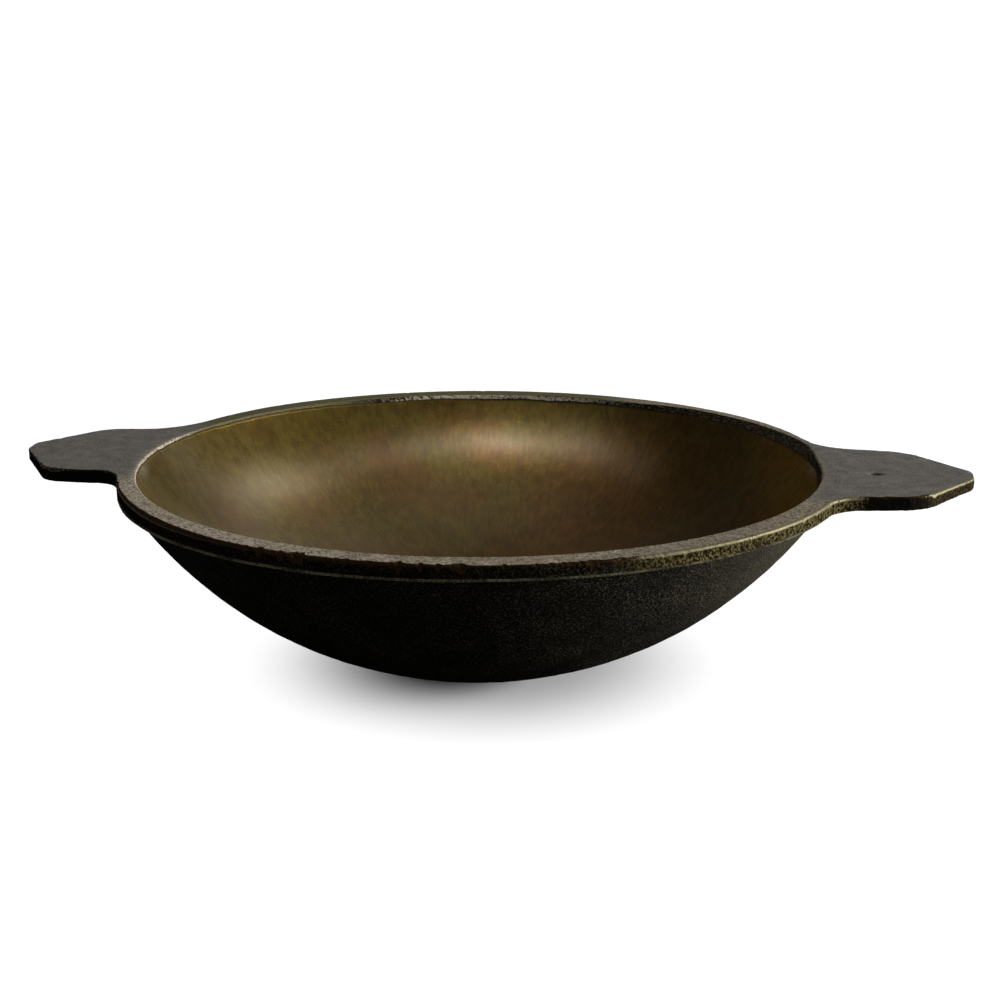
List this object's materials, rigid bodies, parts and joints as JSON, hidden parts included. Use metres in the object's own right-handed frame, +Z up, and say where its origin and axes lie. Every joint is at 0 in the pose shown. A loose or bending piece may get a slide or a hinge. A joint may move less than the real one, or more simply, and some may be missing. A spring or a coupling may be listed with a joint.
{
  "type": "round-bottomed cast iron pan",
  "caption": "Shallow round-bottomed cast iron pan with a flat rim flange and flat five-sided lug handles, for cooking in one deep bowl over a burner.",
  "frame": {"origin": "middle of the flat foot that the pan stands on, on the bowl's axis", "axes": "+Z up the bowl's axis, +X along the handles towards the longer lug, -Y towards the pictured front"},
  "size_m": [0.3303, 0.251, 0.071],
  "materials": {
    "cast_skin": "sand-cast, seasoned black, rough grain",
    "ground_face": "ground and seasoned, olive-brown, semi-gloss, fine radial strokes",
    "worn_rim": "rubbed pale grey-brown lip with small chips",
    "lug_skin": "dark grey fine cast grain, black edges",
    "seam_edge": "rubbed mould parting line"
  },
  "bodies": {
    "root": {"bowl_wall": "cast_skin", "cooking_face": "ground_face", "rim_front": "worn_rim", "rim_back": "worn_rim", "left_lug_handle": "lug_skin", "right_lug_handle": "lug_skin", "front_casting_seam": "seam_edge", "back_casting_seam": "seam_edge"}
  },
  "joints": []
}
